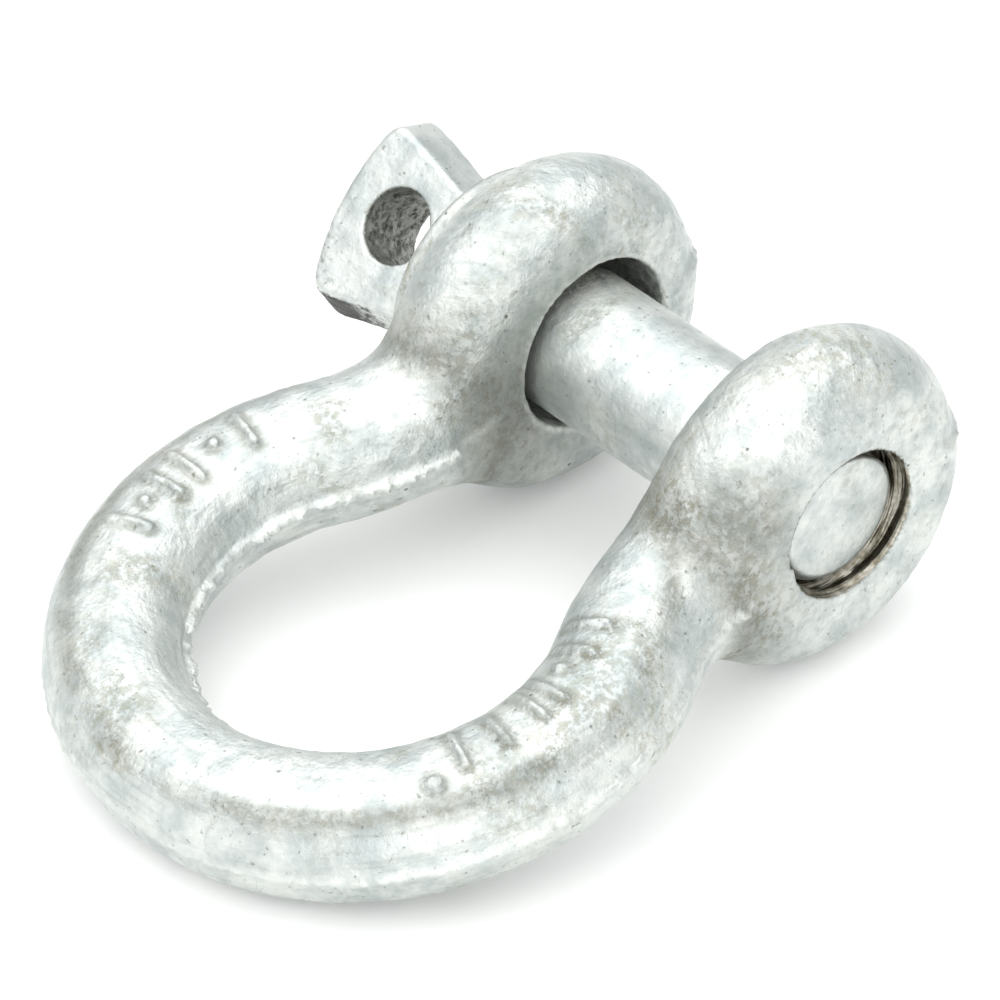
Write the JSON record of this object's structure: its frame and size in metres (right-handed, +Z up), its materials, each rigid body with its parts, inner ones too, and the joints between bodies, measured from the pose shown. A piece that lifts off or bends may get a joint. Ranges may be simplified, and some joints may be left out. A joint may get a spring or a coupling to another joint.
{
  "type": "bow shackle",
  "caption": "Hot-dip galvanised forged bow shackle with a screw pin; the pin draws out sideways to open the jaw.",
  "frame": {"origin": "on the pin's axis, at the middle of the shank that bridges the jaw", "axes": "+Y along the pin towards its head, -X towards the crown, +Z up with the shackle lying on a level floor on its two eyes and its crown"},
  "size_m": [0.0635, 0.0563, 0.0254],
  "materials": {
    "galvanised_bow": "hot-dip galvanised zinc on forged steel, pitted and stained, matt silver-white",
    "galvanised_pin": "hot-dip galvanised zinc on forged steel, thread cut bare"
  },
  "bodies": {
    "bow": {"bow": "galvanised_bow"},
    "screw_pin": {"screw_pin": "galvanised_pin"}
  },
  "joints": [
    {"name": "pin_slide", "type": "slide", "parent": "bow", "child": "screw_pin", "axis": [0, 1, 0], "range_m": [0, 0.045]}
  ]
}
